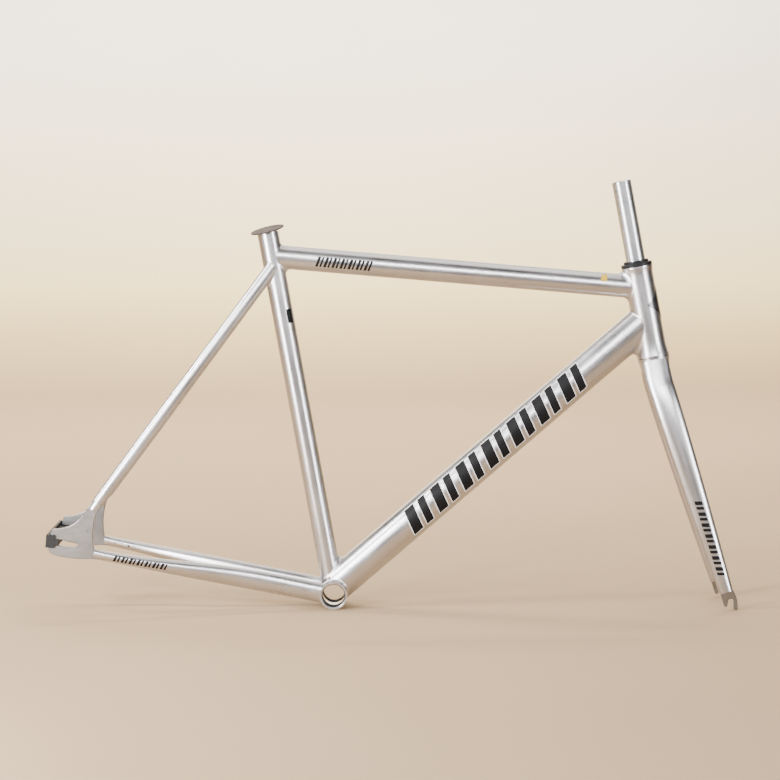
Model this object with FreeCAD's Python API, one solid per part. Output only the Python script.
import FreeCAD, Part
import math
import os
from FreeCAD import Placement, Rotation, Vector

# Track-bicycle frameset: welded aluminium frame, fork, integrated headset, a plug in the seat tube
# and the transit spacer between the rear dropouts. Millimetres. The origin is the centre of the
# bottom bracket shell, +X points forwards, +Z up, and the drive side is -Y. The frameset stands on
# its bottom bracket shell and on the toes of its fork ends, so it is tilted nose down.
# Everything is drawn as it rides, with both axles level, and tilted at the very end.

os.makedirs("parts", exist_ok=True)

# ---- driving dimensions: the riding geometry ----
seat_angle = 74.6               # degrees from level, as is the head angle
head_angle = 73.9
seat_tube_length = 551.0        # bottom bracket centre to the seat tube's top edge
top_tube_height = 515.0         # bottom bracket centre to the top tube axis, along the seat tube
top_tube_length = 551.0         # seat tube axis to steering axis, along the top tube
top_tube_slope = 0.4            # degrees, rising forwards
head_tube_length = 137.0
top_tube_on_head = 105.0        # top tube axis above the head tube's lower edge
down_tube_on_head = 56.0
down_tube_offset = 6.2          # the down tube axis passes this far above the shell's centre
rear_axle_back = 400.0          # rear axle behind the bottom bracket
bb_drop = 49.3                  # rear axle above the bottom bracket
fork_length = 375.4             # crown top to front axle, along the steering axis
fork_rake = 43.0
crown_gap = 0.8                 # between the head tube and the fork crown

# ---- driving dimensions: tubes ----
head_tube_d = 43.8
head_tube_low_d = 48.0
head_tube_top_d = 46.4
head_flare_low = 24.0
head_flare_top = 13.0
head_end_land = 2.5
head_tube_bore = 38.8
seat_tube_d = 31.8
seat_post_bore = 27.2
seat_post_reach = 180.0         # reamed length of the seat post bore
seat_lead_in = 22.0             # wider mouth above it, where the clamp slot is
seat_lead_gap = 0.35            # radial
seat_tube_low_bore = 28.8
clamp_slot_width = 3.0
clamp_slot_length = 34.0
clamp_slot_hole_d = 6.0
top_tube_d = 35.0               # round at the head tube, pressed narrower across at the seat tube
top_tube_seat_across = 29.0
top_tube_wall = 1.6
down_tube_d = 51.0              # round at the shell, pressed narrower across at the head tube
down_tube_head_across = 41.0
down_tube_wall = 1.7
down_tube_plug = 42.0           # the down tube's bore starts this far from the shell's centre
shell_d = 41.5
shell_width = 68.0
shell_bore_d = 34.8
shell_chamfer = 1.0

# ---- driving dimensions: rear end ----
rear_spacing = 120.0            # between the faces that hold the hub
dropout_thick = 10.0
slot_height = 10.2
slot_ahead = 17.0               # slot's round end, ahead of the axle
slot_behind = 25.0              # open end, behind the axle
plate_edge = 0.9                # chamfer round both faces of the dropouts and fork ends
recess_depth = 1.2              # shallow milled land for the axle nut
recess_radius = 13.2
stay_vent_d = 3.6
chainstay_below = 8.6           # the stay's axis passes this far below the axle
chainstay_start = 42.0          # from the axle to the stay's end
chainstay_wall = 1.7
seatstay_aside = 1.8            # the stay's axis passes this far in front of the axle
seatstay_start = 62.0
seatstay_below_top_tube = 14.0  # where the stay meets the seat tube
seatstay_wall = 1.6
seatstay_high = 19.6            # section: depth in the side view, and width across
seatstay_low = 17.6
seatstay_across = 15.0
seatstay_top_y = 10.0           # half the spacing at the seat tube
seatstay_bridge_d = 14.0
chainstay_bridge_d = 12.0
seatstay_bridge_up = 362.0      # bridge from the axle
chainstay_bridge_back = 44.0    # bridge behind the bottom bracket

# ---- driving dimensions: fork ----
front_spacing = 100.0
fork_end_thick = 8.0
front_slot = 9.2
steerer_d = 28.6
steerer_bore = 24.2
steerer_length = 265.5          # above the head tube's lower edge
steerer_in_crown = 30.0
crown_seat_d = 30.0
crown_seat_height = 3.4
crown_collar_d = 41.0
crown_collar_down = 21.0
crown_split = 46.0              # the blades start this far below the head tube
blade_low_slope = 0.05          # outwards per millimetre down, at the fork end
blade_end = 361.0
blade_start = 38.0              # the blades' axis meets the steering axis' plane here
blade_top_chord = 40.0
blade_low_chord = 21.0
blade_top_across = 20.0
blade_low_across = 14.0
blade_top_y = 28.0              # half the spacing of the blade axes at the crown
shoulder_slope = 0.3            # outwards per millimetre down, from the crown's top to the blades
tyre_gap = 36.0
tyre_gap_top = 30.0             # top of the tyre arch below the head tube
blade_wall = 2.0

# ---- driving dimensions: headset, two 41.8 mm cartridge bearings ----
bearing_d = 41.8
bearing_bore = 30.2
bearing_height = 6.5
bearing_chamfer = 1.6
bore_chamfer = 1.2
bearing_seat_gap = 0.075        # radial
bearing_inset_low = 1.3         # from the head tube's ends
bearing_inset_top = 0.7
race_inner_d = 34.0             # outside of the inner race
race_outer_d = 37.8             # inside of the outer race
ball_d = 3.175
ball_count = 24
ball_clearance = 0.03
cage_thick = 0.9
cage_height = 4.0
pocket_clearance = 0.05
seal_thick = 0.6
seal_gap = 0.05
crown_race_d = 40.8
crown_race_flange = 1.4
cover_d = 46.3
cover_gap = 0.4                 # between the cover and the head tube
cover_flange = 3.6
cover_tier_d = 37.0
cover_height = 8.2
steerer_clearance = 0.1
ring_split = 1.5
o_ring_d = 1.5

# ---- driving dimensions: plug and transit spacer ----
plug_disc_d = 50.4
plug_disc_thick = 2.0
plug_rim = 0.7                  # rounding of the disc's edge
plug_stem_d = 21.0
plug_stem_length = 14.0
plug_stem_wall = 1.6
plug_lean_side = 8.5            # degrees the plug sits askew, towards the drive side
plug_lean_back = 3.5
plug_gap = 0.3
spacer_clearance = 0.4
spacer_tongue = 15.0            # in the slot
spacer_back = 3.4               # plate behind the dropout tips
spacer_plate_height = 19.0
spacer_cap = 3.0                # thickness of the cap on each dropout's outer face
spacer_cap_length = 13.0

# ---- weld beads ----
bead_top_tube_head = 10.0
bead_down_tube_head = 6.0
bead_top_tube_seat = 6.0
bead_seatstay = 3.0
bead_down_tube_shell = 5.0
bead_seat_tube_foot = 6.0

AXIS_Y = Vector(0, 1, 0)
ORIGIN = Vector(0, 0, 0)
SIDES = (("right", -1), ("left", 1))
LONG = 2000.0                   # longer than any part, for cutting tools


def direction(angle):
    """Unit vector in the side plane, angle in degrees above +X."""
    return Vector(math.cos(math.radians(angle)), 0, math.sin(math.radians(angle)))


def square_to(line):
    """The side-plane direction a quarter turn from a direction, upwards for one that points forwards."""
    return Vector(-line.z, 0, line.x)


def rod(start, end, diameter):
    """Solid cylinder between two points."""
    run = end - start
    return Part.makeCylinder(diameter / 2, run.Length, start, run)


def turned(profile):
    """Solid of revolution about Z from (radius, height) corners."""
    wire = Part.makePolygon([Vector(r, 0, z) for r, z in profile + profile[:1]])
    return Part.Face(wire).revolve(ORIGIN, Vector(0, 0, 1), 360)


def drum(radius, low, high):
    return Part.makeCylinder(radius, high - low, Vector(0, 0, low))


def ring(inner, outer, low, high):
    return drum(outer, low, high).cut(drum(inner, low - 1, high + 1))


def biggest(shape):
    """The largest solid of a shape that a cut left in pieces."""
    return max(shape.Solids, key=lambda solid: solid.Volume)


def mirrored(shape):
    return shape.mirror(ORIGIN, AXIS_Y)


def oval(centre, along, across, deep, wide):
    """Closed elliptical wire, square to a direction, deep in the side plane and wide across it."""
    along = Vector(along).normalize()
    deep_way = Vector(across).cross(along).normalize()
    wide_way = along.cross(deep_way)
    turn = Placement(centre, Rotation(deep_way, wide_way, along, "ZXY"))
    if deep >= wide:
        curve = Part.Ellipse(ORIGIN, deep / 2, wide / 2)
    else:
        curve = Part.Ellipse(Vector(0, wide / 2, 0), Vector(deep / 2, 0, 0), ORIGIN)
    wire = Part.Wire(curve.toShape())
    wire.Placement = turn
    return wire


def lofted(stations, straight=False):
    """Solid through oval stations: (centre, direction, depth in the side view, width across)."""
    return Part.makeLoft([oval(c, a, AXIS_Y, d, w) for c, a, d, w in stations], True, straight)


def inset(stations, wall):
    return [(c, a, d - 2 * wall, w - 2 * wall) for c, a, d, w in stations]


# ---- the skeleton ----
seat_way = direction(180 - seat_angle)
head_way = direction(180 - head_angle)
rake_way = square_to(head_way) * -1
rear_axle = Vector(-rear_axle_back, 0, bb_drop)
seat_joint = seat_way * top_tube_height
head_joint = seat_joint + direction(top_tube_slope) * top_tube_length
head_foot = head_joint - head_way * top_tube_on_head
down_joint = head_foot + head_way * down_tube_on_head
front_axle = head_foot - head_way * (crown_gap + fork_length) + rake_way * fork_rake
seatstay_joint = seat_way * (top_tube_height - seatstay_below_top_tube)
seatstay_way = Vector(seatstay_joint - rear_axle).normalize()
chainstay_foot = rear_axle - Vector(0, 0, chainstay_below)
chainstay_way = Vector(ORIGIN - chainstay_foot).normalize()
down_lean = math.degrees(math.atan2(down_joint.z, down_joint.x))
down_way = direction(down_lean - math.degrees(math.asin(down_tube_offset / down_joint.Length)))
down_start = square_to(down_way) * down_tube_offset

STEERING = Placement(head_foot, Rotation(AXIS_Y, head_angle - 90))
SEATING = Placement(ORIGIN, Rotation(AXIS_Y, seat_angle - 90))

shell_r = shell_d / 2
toe_radius = 3.4
toe_down = 386.0                # centre of the toe below the head tube's lower edge
toe_forward = 48.6
toe = head_foot - head_way * toe_down + rake_way * toe_forward

# the frameset stands on the line that touches both the shell and the toes
stand_tilt = math.degrees(math.atan2(toe.z, toe.x) + math.asin((shell_r - toe_radius) / toe.Length))
STAND = Placement(ORIGIN, Rotation(AXIS_Y, stand_tilt))


def steered(shape):
    """Moves a shape drawn about Z, up from the head tube's lower edge, onto the steering axis."""
    shape = shape.copy()
    shape.transformShape(STEERING.toMatrix(), False)
    return shape


def seated(shape):
    """Moves a shape drawn about Z, up from the shell's centre, onto the seat tube's axis."""
    shape = shape.copy()
    shape.transformShape(SEATING.toMatrix(), False)
    return shape


# ---- main tubes, as full bars first, because each one mitres its neighbours ----
def head_outline():
    """Half outline of the head tube: lands at both ends, arcs to the waist, straight between."""
    low_r, top_r, waist_r = head_tube_low_d / 2, head_tube_top_d / 2, head_tube_d / 2

    def flare(end_r, end_s, waist_s, middle):
        radius = ((waist_s - end_s) ** 2 + (end_r - waist_r) ** 2) / (2 * (end_r - waist_r))
        r = waist_r + radius - math.sqrt(radius**2 - (middle - waist_s) ** 2)
        return Vector(r, 0, middle)

    top_s = head_tube_length - head_end_land
    top_waist = head_tube_length - head_flare_top
    corners = [
        Vector(0, 0, 0),
        Vector(low_r, 0, 0),
        Vector(low_r, 0, head_end_land),
        Vector(waist_r, 0, head_flare_low),
        Vector(waist_r, 0, top_waist),
        Vector(top_r, 0, top_s),
        Vector(top_r, 0, head_tube_length),
        Vector(0, 0, head_tube_length),
    ]
    low_mid = flare(low_r, head_end_land, head_flare_low, (head_end_land + head_flare_low) / 2)
    top_mid = flare(top_r, top_s, top_waist, (top_s + top_waist) / 2)
    edges = [
        Part.LineSegment(corners[0], corners[1]),
        Part.LineSegment(corners[1], corners[2]),
        Part.Arc(corners[2], low_mid, corners[3]),
        Part.LineSegment(corners[3], corners[4]),
        Part.Arc(corners[4], top_mid, corners[5]),
        Part.LineSegment(corners[5], corners[6]),
        Part.LineSegment(corners[6], corners[7]),
        Part.LineSegment(corners[7], corners[0]),
    ]
    wire = Part.Wire([edge.toShape() for edge in edges])
    return Part.Face(wire).revolve(ORIGIN, Vector(0, 0, 1), 360)


head_bar = steered(head_outline())
seat_bar = seated(drum(seat_tube_d / 2, 0, seat_tube_length))
shell_bar = Part.makeCylinder(shell_r, shell_width, Vector(0, -shell_width / 2, 0), AXIS_Y)




def straight_tube(start, end, deep, across_start, across_end, wall=0.0, closed=0.0):
    """Bar whose width across changes evenly; with a wall, its bore, which starts past a closed length."""
    way = (end - start).normalize()
    growth = (across_end - across_start) / start.distanceToPoint(end)
    first, last = closed, start.distanceToPoint(end)
    if wall > 0:
        first, last = closed - 1, last + 1
    stations = [(start + way * at, way, deep - 2 * wall, across_start + growth * at - 2 * wall)
                for at in (first, last)]
    return lofted(stations, True)


top_sizes = (seat_joint, head_joint, top_tube_d, top_tube_seat_across, top_tube_d)
down_sizes = (down_start, down_joint, down_tube_d, down_tube_d, down_tube_head_across)
top_bar = straight_tube(*top_sizes)
down_bar = straight_tube(*down_sizes)


def bearing_pocket(end, inset_by, upwards):
    """Bore for one bearing, with the 45 degree seat under it, drawn at the foot or the top."""
    wide = bearing_d / 2 + bearing_seat_gap
    narrow = head_tube_bore / 2
    depth = inset_by + bearing_height - (wide - bearing_d / 2 + bearing_chamfer)
    floor = depth + wide - narrow
    way = 1 if upwards else -1
    return turned([(0, end - way), (wide, end - way), (wide, end + way * depth),
                   (narrow, end + way * floor), (0, end + way * floor)])


def make_head_tube():
    bores = [
        drum(head_tube_bore / 2, -1, head_tube_length + 1),
        bearing_pocket(0, bearing_inset_low, True),
        bearing_pocket(head_tube_length, bearing_inset_top, False),
    ]
    tube = head_bar
    for bore in bores:
        tube = tube.cut(steered(bore))
    return tube


def make_seat_tube():
    reamed_top = seat_tube_length - seat_lead_in
    reamed_low = reamed_top - seat_post_reach
    tube = seat_bar.cut(seated(drum(seat_tube_low_bore / 2, shell_r, reamed_low)))
    tube = tube.cut(seated(drum(seat_post_bore / 2, reamed_low, reamed_top)))
    lead_in = drum(seat_post_bore / 2 + seat_lead_gap, reamed_top, seat_tube_length + 1)
    tube = tube.cut(seated(lead_in))
    slot = Part.makeBox(seat_tube_d, clamp_slot_width, clamp_slot_length + 1)
    slot.translate(Vector(-seat_tube_d, -clamp_slot_width / 2, seat_tube_length - clamp_slot_length))
    hole_centre = Vector(-seat_tube_d, 0, seat_tube_length - clamp_slot_length)
    hole = Part.makeCylinder(clamp_slot_hole_d / 2, seat_tube_d, hole_centre, Vector(1, 0, 0))
    tube = tube.cut(seated(slot)).cut(seated(hole))
    return biggest(tube.cut(shell_bar))


def make_top_tube():
    bore = straight_tube(*top_sizes, top_tube_wall)
    return biggest(top_bar.cut(bore).cut(seat_bar).cut(head_bar))


def make_down_tube():
    bore = straight_tube(*down_sizes, down_tube_wall, down_tube_plug)
    behind = Part.makeBox(LONG, LONG, LONG, Vector(-LONG, -LONG / 2, -LONG / 2))
    tube = down_bar.cut(bore).cut(seated(behind)).cut(seat_bar).cut(shell_bar).cut(head_bar)
    return biggest(tube)


def make_shell():
    half = shell_width / 2
    bore_r = shell_bore_d / 2
    profile = [(bore_r + shell_chamfer, -half), (shell_r, -half), (shell_r, half),
               (bore_r + shell_chamfer, half), (bore_r, half - shell_chamfer),
               (bore_r, shell_chamfer - half)]
    shell = turned(profile)
    shell.rotate(ORIGIN, Vector(1, 0, 0), 90)
    return shell


# ---- rear end ----
dropout_y = rear_spacing / 2 + dropout_thick / 2

# half spacing, depth in the side view and width across, at shares of the way to the shell
chainstay_shape = (
    (0.00, dropout_y, 15.0, 12.0),
    (0.10, dropout_y - 1.5, 15.4, 15.0),
    (0.26, dropout_y - 10.0, 19.5, 17.5),
    (0.48, dropout_y - 28.0, 26.5, 17.5),
    (0.70, dropout_y - 39.4, 30.0, 17.0),
    (1.00, dropout_y - 40.0, 29.4, 17.0),
)


def chainstay_stations():
    start = chainstay_foot + chainstay_way * chainstay_start
    run = (ORIGIN - start).Length
    points = [start + chainstay_way * run * share + Vector(0, y, 0) for share, y, _, _ in chainstay_shape]
    stations = []
    for i, (_, _, depth, wide) in enumerate(chainstay_shape):
        ahead = points[min(i + 1, len(points) - 1)]
        behind = points[max(i - 1, 0)]
        way = ahead - behind if 0 < i < len(points) - 1 else chainstay_way
        stations.append((points[i], way, depth, wide))
    return stations


def seatstay_line(share):
    """Point on the left seatstay's axis, from its end at the dropout (0) to the seat tube (1)."""
    start = rear_axle + seatstay_way * seatstay_start + square_to(seatstay_way) * -seatstay_aside
    start = start + Vector(0, dropout_y, 0)
    end = seatstay_joint + Vector(0, seatstay_top_y, 0)
    return start + (end - start) * share


def seatstay_stations():
    way = seatstay_line(1) - seatstay_line(0)
    shape = ((0.0, 14.0, 12.0), (0.03, seatstay_low, seatstay_across), (0.3, seatstay_high, seatstay_across),
             (1.0, seatstay_high, seatstay_across))
    return [(seatstay_line(share), way, depth, wide) for share, depth, wide in shape]


def polar(along, aside, way, centre):
    """Point at a distance along a direction and a distance to its left, from a centre."""
    return centre + way * along + square_to(way) * aside


def plate_from(edges, inner_y, thickness):
    """Plate in the side plane with its edges chamfered, from an outline and its inner face's position."""
    face = Part.Face(Part.Wire([edge.toShape() for edge in edges]))
    plate = face.extrude(Vector(0, thickness, 0))
    plate.translate(Vector(0, inner_y, 0))
    rims = [edge for edge in plate.Edges
            if abs(edge.Vertexes[0].Y - edge.Vertexes[-1].Y) < 0.01 and edge.Length > thickness * 1.2]
    return plate.makeChamfer(plate_edge, rims)


def dropout_plate():
    """Left dropout: arms above and below the slot, and a tang into each stay."""
    back = Vector(-1, 0, 0)
    half = slot_height / 2
    cs = chainstay_start
    ss = seatstay_start

    def at(ahead, up):
        return rear_axle + Vector(ahead, 0, up)

    stay_top = polar(ss + 16, -seatstay_aside - 5.6, seatstay_way, rear_axle)
    stay_back = polar(ss + 16, -seatstay_aside + 5.6, seatstay_way, rear_axle)
    stay_root_back = polar(ss - 2, -seatstay_aside + 8.0, seatstay_way, rear_axle)
    stay_root_front = polar(ss - 2, -seatstay_aside - 8.0, seatstay_way, rear_axle)
    chain_up = polar(cs + 12, 5.4, chainstay_way, chainstay_foot)
    chain_down = polar(cs + 12, -5.4, chainstay_way, chainstay_foot)
    chain_root_up = polar(cs - 1, 7.0, chainstay_way, chainstay_foot)
    chain_root_down = polar(cs - 1, -7.4, chainstay_way, chainstay_foot)
    slot_end = slot_ahead - half
    edges = [
        Part.LineSegment(at(-slot_behind, half), at(-slot_behind + 1.2, 15.0)),
        Part.Arc(at(-slot_behind + 1.2, 15.0), at(-slot_behind + 2.6, 17.6), at(-slot_behind + 6.0, 18.9)),
        Part.Arc(at(-slot_behind + 6.0, 18.9), at(4.0, 26.6), stay_root_back),
        Part.LineSegment(stay_root_back, stay_back),
        Part.LineSegment(stay_back, stay_top),
        Part.LineSegment(stay_top, stay_root_front),
        Part.Arc(stay_root_front, at(37.6, 23.0), chain_root_up),
        Part.LineSegment(chain_root_up, chain_up),
        Part.LineSegment(chain_up, chain_down),
        Part.LineSegment(chain_down, chain_root_down),
        Part.Arc(chain_root_down, at(4.0, -21.6), at(-17.0, -19.2)),
        Part.Arc(at(-17.0, -19.2), at(-23.6, -15.4), at(-slot_behind - 1.4, -9.0)),
        Part.LineSegment(at(-slot_behind - 1.4, -9.0), at(-slot_behind, -half)),
        Part.LineSegment(at(-slot_behind, -half), at(slot_end, -half)),
        Part.Arc(at(slot_end, -half), at(slot_ahead, 0), at(slot_end, half)),
        Part.LineSegment(at(slot_end, half), at(-slot_behind, half)),
    ]
    plate = plate_from(edges, rear_spacing / 2, dropout_thick)
    # land for the axle nut: a round-ended pocket round the slot, on the outer face
    land_y = rear_spacing / 2 + dropout_thick - recess_depth
    land = Part.makeCylinder(recess_radius, LONG, at(slot_end, 1.0) + Vector(0, land_y, 0), AXIS_Y)
    strip = Part.makeBox(slot_behind * 2, LONG, recess_radius * 2)
    strip.translate(at(slot_end - slot_behind * 2, 1.0 - recess_radius) + Vector(0, land_y, 0))
    plate = plate.cut(land).cut(strip)
    # oval pocket milled in the web between the stays
    pocket = rod(at(31.5, 22.5) + Vector(0, land_y, 0), at(31.5, 22.5) + Vector(0, LONG, 0), 7.0)
    return plate.cut(pocket)


def make_rear(parts):
    plate = dropout_plate()
    chain = chainstay_stations()
    chain_bar = lofted(chain)
    chain_bore = lofted(inset(chain, chainstay_wall)[1:])
    chain_tube = chain_bar.cut(chain_bore).cut(plate)
    vent_at = chain[1][0] + chainstay_way * 3
    vent = Part.makeCylinder(stay_vent_d / 2, dropout_y, Vector(vent_at.x, 0, vent_at.z), AXIS_Y)
    chain_tube = chain_tube.cut(vent)
    around_shell = rod(AXIS_Y * -shell_width, AXIS_Y * shell_width, shell_d)
    chain_tube = biggest(chain_tube.cut(around_shell).cut(seat_bar).cut(down_bar))
    seat = seatstay_stations()
    seat_bore = lofted(inset(seat, seatstay_wall)[1:], True)
    seat_stay = lofted(seat, True).cut(seat_bore).cut(plate)
    seat_stay = biggest(seat_stay.cut(seat_bar).cut(top_bar))
    for name, side in SIDES:
        for node, shape in (("chainstay", chain_tube), ("seatstay", seat_stay), ("rear_dropout", plate)):
            parts[f"{node}_{name}"] = shape if side > 0 else mirrored(shape)
    share = (seatstay_bridge_up - seatstay_start) / (seatstay_joint - rear_axle).Length
    middle = seatstay_line(share)
    bars = {"seatstay": lofted(seat, True), "chainstay": chain_bar}
    spots = {
        "seatstay": (Vector(middle.x, 0, middle.z), middle.y, seatstay_bridge_d),
        "chainstay": (chainstay_way * -chainstay_bridge_back, dropout_y, chainstay_bridge_d),
    }
    for node, (centre, reach, diameter) in spots.items():
        bridge = rod(centre - AXIS_Y * reach, centre + AXIS_Y * reach, diameter)
        bridge = bridge.cut(rod(centre - AXIS_Y * LONG, centre + AXIS_Y * LONG, diameter - 3.0))
        bridge = bridge.cut(bars[node]).cut(mirrored(bars[node]))
        pieces = sorted(bridge.Solids, key=lambda solid: abs(solid.CenterOfMass.y))
        parts[f"{node}_bridge"] = pieces[0]


# ---- fork, drawn about the steering axis: x forwards, z up from the head tube's lower edge ----
def blade_centre(down):
    """Left blade's axis: forwards in a straight line, outwards in a smooth curve below the crown."""
    end_y = front_spacing / 2 + fork_end_thick / 2
    run = blade_end - crown_split
    forward = (fork_rake - 4.0) * (down - blade_start) / (blade_end - blade_start)
    share = (down - crown_split) / run
    # the slope eases from the shoulder's to the value that lands on the fork end
    spare = end_y - blade_top_y - blade_low_slope * run
    ease = run * (shoulder_slope - blade_low_slope) / spare
    y = blade_top_y + blade_low_slope * run * share + spare * (1 - max(1 - share, 0) ** ease)
    if down < crown_split:
        y = blade_top_y - shoulder_slope * (crown_split - down)
    return Vector(max(forward, 0.0), y, -down)


def blade_size(down):
    share = min(1.0, max(0.0, (down - crown_split) / (blade_end - crown_split)))
    chord = blade_top_chord - (blade_top_chord - blade_low_chord) * (0.35 * share + 0.65 * share**1.6)
    across = blade_top_across - (blade_top_across - blade_low_across) * share
    return chord, across


def blade_stations(downs, wall=0.0):
    stations = []
    for down in downs:
        chord, across = blade_size(down)
        way = blade_centre(down + 4) - blade_centre(down - 4)
        stations.append((blade_centre(down), way, chord - 2 * wall, across - 2 * wall))
    return stations


SHOULDER = (6.0, 18.0, 32.0, crown_split)
BLADE = (crown_split, 90.0, 150.0, 220.0, 290.0, blade_end)


def fork_end_plate():
    """Left fork end: a tang up into the blade, a long toe in front of the slot and a point behind it."""
    def at(down, forward):
        return Vector(forward, 0, -down)

    axle_down = fork_length + crown_gap
    half = front_slot / 2
    top = axle_down - half
    tang = blade_end - 14.0
    edges = [
        Part.LineSegment(at(tang, 33.4), at(tang, 43.2)),
        Part.LineSegment(at(tang, 43.2), at(blade_end - 2, 48.8)),
        Part.Arc(at(blade_end - 2, 48.8), at(374.0, 52.4), at(toe_down - 1.0, toe_forward + toe_radius - 0.1)),
        Part.Arc(at(toe_down - 1.0, toe_forward + toe_radius - 0.1),
                 at(toe_down + toe_radius, toe_forward), at(toe_down - 1.2, toe_forward - toe_radius + 0.2)),
        Part.LineSegment(at(toe_down - 1.2, toe_forward - toe_radius + 0.2), at(axle_down, fork_rake + half)),
        Part.Arc(at(axle_down, fork_rake + half), at(top, fork_rake), at(axle_down, fork_rake - half)),
        Part.LineSegment(at(axle_down, fork_rake - half), at(axle_down + 5.8, fork_rake - half - 2.0)),
        Part.Arc(at(axle_down + 5.8, fork_rake - half - 2.0), at(axle_down + 6.0, 34.2), at(axle_down + 4.4, 32.2)),
        Part.LineSegment(at(axle_down + 4.4, 32.2), at(blade_end, 29.8)),
        Part.LineSegment(at(blade_end, 29.8), at(tang, 33.4)),
    ]
    return plate_from(edges, front_spacing / 2, fork_end_thick)


def make_fork(parts):
    crown_top = -crown_gap
    steerer_low = crown_top - steerer_in_crown
    outer = turned([
        (0, crown_top), (head_tube_low_d / 2, crown_top), (head_tube_low_d / 2, crown_top - head_end_land),
        (crown_collar_d / 2, -crown_collar_down), (0, -crown_collar_down),
    ])
    shoulder = lofted(blade_stations(SHOULDER))
    arch_centre = Vector(-LONG / 2, 0, -tyre_gap_top - tyre_gap / 2)
    arch = Part.makeCylinder(tyre_gap / 2, LONG, arch_centre, Vector(1, 0, 0))
    web = rod(Vector(0, -blade_top_y * 0.4, -16), Vector(0, blade_top_y * 0.4, -16), 26.0)
    above = drum(LONG, crown_top, LONG)
    crown = outer.fuse([shoulder, mirrored(shoulder), web]).cut(above).removeSplitter()
    seat = drum(crown_seat_d / 2, crown_top - 1, crown_top + crown_seat_height)
    crown = crown.fuse(seat).cut(drum(steerer_d / 2, -LONG, crown_top + LONG)).cut(arch)
    parts["fork_crown"] = steered(biggest(crown))

    groove_low = cover_gap + head_tube_length + cover_height - 1.7
    steerer = ring(steerer_bore / 2, steerer_d / 2, steerer_low, steerer_length)
    steerer = steerer.cut(ring(steerer_d / 2 - 0.3, steerer_d, groove_low, groove_low + 1.5))
    lip = max(steerer.Edges, key=lambda edge: edge.CenterOfMass.z + edge.Length / LONG)
    parts["steerer_tube"] = steered(steerer.makeChamfer(0.4, [lip]))

    plate = fork_end_plate()
    blade = lofted(blade_stations(BLADE))
    bore = lofted(blade_stations(BLADE[:-1] + (blade_end - 16.0,), blade_wall))
    blade = blade.cut(bore)
    vent_down = blade_end - 22.0
    vent = Part.makeCylinder(1.6, LONG, blade_centre(vent_down) - Vector(0, LONG, 0), AXIS_Y)
    blade = biggest(blade.cut(vent).cut(plate))
    for name, side in SIDES:
        for node, shape in (("fork_blade", blade), ("fork_end", plate)):
            parts[f"{node}_{name}"] = steered(shape if side > 0 else mirrored(shape))


# ---- headset ----
def make_bearing(parts, name, low, seat_up):
    """Cartridge bearing from a height upwards; seat_up says which outer corner meets the head tube."""
    high = low + bearing_height
    out_r, in_r = bearing_d / 2, bearing_bore / 2
    track = (race_inner_d + race_outer_d) / 4
    middle = (low + high) / 2

    def up(z):
        """Mirrors a height for the bearing whose seat is below it."""
        return z if seat_up else low + high - z

    outer = turned([(race_outer_d / 2, up(low)), (out_r, up(low)), (out_r, up(high - bearing_chamfer)),
                    (out_r - bearing_chamfer, up(high)), (race_outer_d / 2, up(high))])
    inner = turned([(in_r + bore_chamfer, up(low)), (race_inner_d / 2, up(low)), (race_inner_d / 2, up(high)),
                    (in_r, up(high)), (in_r, up(low + bore_chamfer))])
    groove = Part.makeTorus(track, ball_d / 2 + ball_clearance, Vector(0, 0, middle))
    cage = ring(track - cage_thick / 2, track + cage_thick / 2, middle - cage_height / 2, middle + cage_height / 2)
    balls = []
    for i in range(ball_count):
        turn = 2 * math.pi * (i + 0.5) / ball_count
        outwards = Vector(math.cos(turn), math.sin(turn), 0)
        hub = Vector(0, 0, middle)
        balls.append(Part.makeSphere(ball_d / 2, hub + outwards * track))
        pocket = Part.makeCylinder(ball_d / 2 + pocket_clearance, 2 * ball_d, hub + outwards * (track - ball_d),
                                   outwards)
        cage = cage.cut(pocket)
    seals = [
        ring(race_inner_d / 2 + seal_gap, race_outer_d / 2, edge, edge + seal_thick)
        for edge in (low, high - seal_thick)
    ]
    parts[f"{name}_bearing_outer_race"] = steered(outer.cut(groove))
    parts[f"{name}_bearing_inner_race"] = steered(inner.cut(groove))
    parts[f"{name}_bearing_balls"] = steered(Part.makeCompound(balls))
    parts[f"{name}_bearing_cage"] = steered(cage)
    parts[f"{name}_bearing_seals"] = steered(Part.makeCompound(seals))


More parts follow.
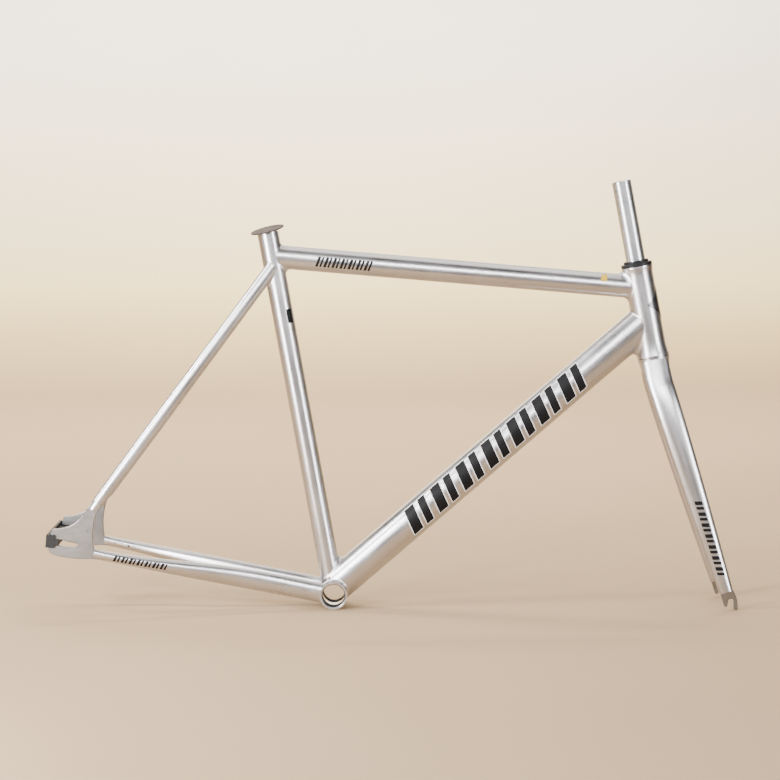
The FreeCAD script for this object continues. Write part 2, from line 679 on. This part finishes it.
def make_headset(parts):
    low_bearing = bearing_inset_low
    top_bearing = head_tube_length - bearing_inset_top - bearing_height
    make_bearing(parts, "lower", low_bearing, True)
    make_bearing(parts, "upper", top_bearing, False)

    seat_r, cone_r = crown_seat_d / 2, bearing_bore / 2 + bore_chamfer
    flange_top = crown_race_flange - crown_gap
    cone_start = cone_r + low_bearing - flange_top
    race = turned([(seat_r, -crown_gap), (crown_race_d / 2, -crown_gap), (crown_race_d / 2, flange_top),
                   (cone_start, flange_top), (seat_r + 0.1, flange_top + cone_start - seat_r - 0.1),
                   (seat_r, flange_top + cone_start - seat_r - 0.1)])
    parts["crown_race"] = steered(race)

    steerer_r = steerer_d / 2
    top = top_bearing + bearing_height
    cone_low = top - bore_chamfer
    cover_low = head_tube_length + cover_gap
    rim = cover_low + 0.4
    wedge_r = bearing_bore / 2 - 0.05
    wedge = turned([(steerer_r, cone_low - 2.4), (wedge_r, cone_low - 2.4), (wedge_r, cone_low - 0.05),
                    (wedge_r + rim - cone_low + 0.05, rim), (steerer_r, rim)])
    gap = Part.makeBox(LONG, ring_split, LONG, Vector(0, -ring_split / 2, -LONG / 2))
    parts["compression_ring"] = steered(wedge.cut(gap))

    bore_r = steerer_r + steerer_clearance
    cover_top = cover_low + cover_height
    flange = cover_low + cover_flange
    out_r, tier_r = cover_d / 2, cover_tier_d / 2
    pocket_r = wedge_r + rim - cone_low + 0.3
    groove_r = bore_r + o_ring_d
    groove_top = cover_top - 0.2
    cover = turned([(pocket_r, cover_low), (out_r, cover_low), (out_r, flange), (out_r - 1.0, flange + 0.8),
                    (tier_r + 0.4, flange + 1.0), (tier_r, flange + 1.6), (tier_r, cover_top - 0.6),
                    (tier_r - 0.6, cover_top), (groove_r, cover_top), (groove_r, groove_top - o_ring_d),
                    (bore_r, groove_top - o_ring_d), (bore_r, rim), (pocket_r, rim)])
    parts["headset_cover"] = steered(cover)
    seal_r = o_ring_d / 2
    seal = Part.makeTorus(bore_r + seal_r, seal_r - 0.02, Vector(0, 0, groove_top - seal_r))
    parts["cover_o_ring"] = steered(seal)


# ---- plug and transit spacer ----
def make_plug(parts):
    disc = drum(plug_disc_d / 2, 0, plug_disc_thick)
    rims = [edge for edge in disc.Edges if edge.Length > plug_disc_d]
    disc = disc.makeFillet(plug_rim, rims)
    stem = ring(plug_stem_d / 2 - plug_stem_wall, plug_stem_d / 2, -plug_stem_length, plug_disc_thick / 2)
    plug = disc.fuse(stem)
    plug.rotate(ORIGIN, Vector(1, 0, 0), plug_lean_side)
    plug.rotate(ORIGIN, AXIS_Y, -plug_lean_back)
    lean = math.radians(math.hypot(plug_lean_side, plug_lean_back))
    plug.translate(Vector(0, 0, seat_tube_length + seat_tube_d / 2 * math.tan(lean) + plug_gap))
    parts["seat_tube_plug"] = seated(plug)


def make_spacer(parts):
    """Transit bar held in the mouths of both slots, with a plate behind the tips and a cap at each end."""
    face = rear_spacing / 2 + dropout_thick + spacer_clearance
    reach = face + spacer_cap
    height = slot_height - 2 * spacer_clearance
    back = -slot_behind - 1.4 - spacer_clearance
    low = 1.0 - spacer_plate_height / 2

    def block(start, length, inner, outer, bottom, tall):
        """Box from two distances along the slot and two across the bicycle."""
        corner = rear_axle + Vector(start, inner, bottom)
        return Part.makeBox(length, outer - inner, tall, corner)

    tongue = block(back - 1, spacer_tongue + 1, -reach, reach, -height / 2, height)
    plate = block(back - spacer_back, spacer_back, -reach, reach, low, spacer_plate_height)
    cap = block(back - spacer_back, spacer_cap_length, face, reach, low, spacer_plate_height)
    spacer = tongue.fuse([plate, cap, mirrored(cap)]).removeSplitter()
    parts["dropout_spacer"] = spacer


# ---- weld beads: smooth fillets in the corners between tubes ----
def bead(one, other, radius):
    """Fills the corner where two bars meet: the fused pair filleted, less the pair itself."""
    pair = one.fuse(other)
    corner = [edge for edge in pair.Edges
              if on_surface(edge, one) and on_surface(edge, other) and edge.Length > radius]
    filled = pair.makeFillet(radius, corner)
    return filled.cut(one).cut(other)


def on_surface(edge, bar):
    """True for an edge whose middle and ends lie on a bar's curved faces."""
    first, last = edge.FirstParameter, edge.LastParameter
    spots = [edge.valueAt(first + (last - first) * share) for share in (0.0, 0.37, 0.5, 0.81)]
    skin = Part.makeCompound([face for face in bar.Faces if not isinstance(face.Surface, Part.Plane)])
    return all(skin.distToShape(Part.Vertex(spot))[0] < 0.01 for spot in spots)


def make_beads(parts):
    chain_bar = lofted(chainstay_stations())
    seat_stay = lofted(seatstay_stations(), True)
    stay_bead = biggest(bead(seat_bar, seat_stay, bead_seatstay)).cut(mirrored(seat_stay))
    middle = Part.makeBox(LONG, LONG, LONG, Vector(-LONG / 2, -LONG, -LONG / 2))
    stay_bead = stay_bead.cut(middle).cut(top_bar)
    head_beads = [bead(head_bar, top_bar, bead_top_tube_head), bead(head_bar, down_bar, bead_down_tube_head)]
    shell_bead = biggest(bead(shell_bar, down_bar, bead_down_tube_shell))
    shell_bead = shell_bead.cut(seat_bar).cut(chain_bar).cut(mirrored(chain_bar))
    foot_bead = biggest(bead(seat_bar, down_bar, bead_seat_tube_foot))
    foot_bead = foot_bead.cut(shell_bar).cut(shell_bead).cut(chain_bar).cut(mirrored(chain_bar))
    welds = {
        "head_tube_welds": [biggest(one) for one in head_beads],
        "top_tube_rear_weld": [biggest(bead(seat_bar, top_bar, bead_top_tube_seat))],
        "seatstay_welds": [biggest(stay_bead), mirrored(biggest(stay_bead))],
        "down_tube_shell_weld": [biggest(shell_bead)],
        "seat_tube_foot_weld": [biggest(foot_bead)],
    }
    for node, solids in welds.items():
        parts[node] = Part.makeCompound(solids)


parts = {
    "head_tube": make_head_tube(),
    "seat_tube": make_seat_tube(),
    "top_tube": make_top_tube(),
    "down_tube": make_down_tube(),
    "bottom_bracket_shell": make_shell(),
}
make_rear(parts)
make_fork(parts)
make_headset(parts)
make_plug(parts)
make_spacer(parts)
make_beads(parts)

for node, shape in parts.items():
    placed = shape.copy()
    placed.transformShape(STAND.toMatrix(), False)
    placed.exportStep(f"parts/{node}.step")
    print(f"{node:28s} valid {placed.isValid()}  solids {len(placed.Solids)}  volume {placed.Volume:.0f}")
print("tilt", round(stand_tilt, 3))
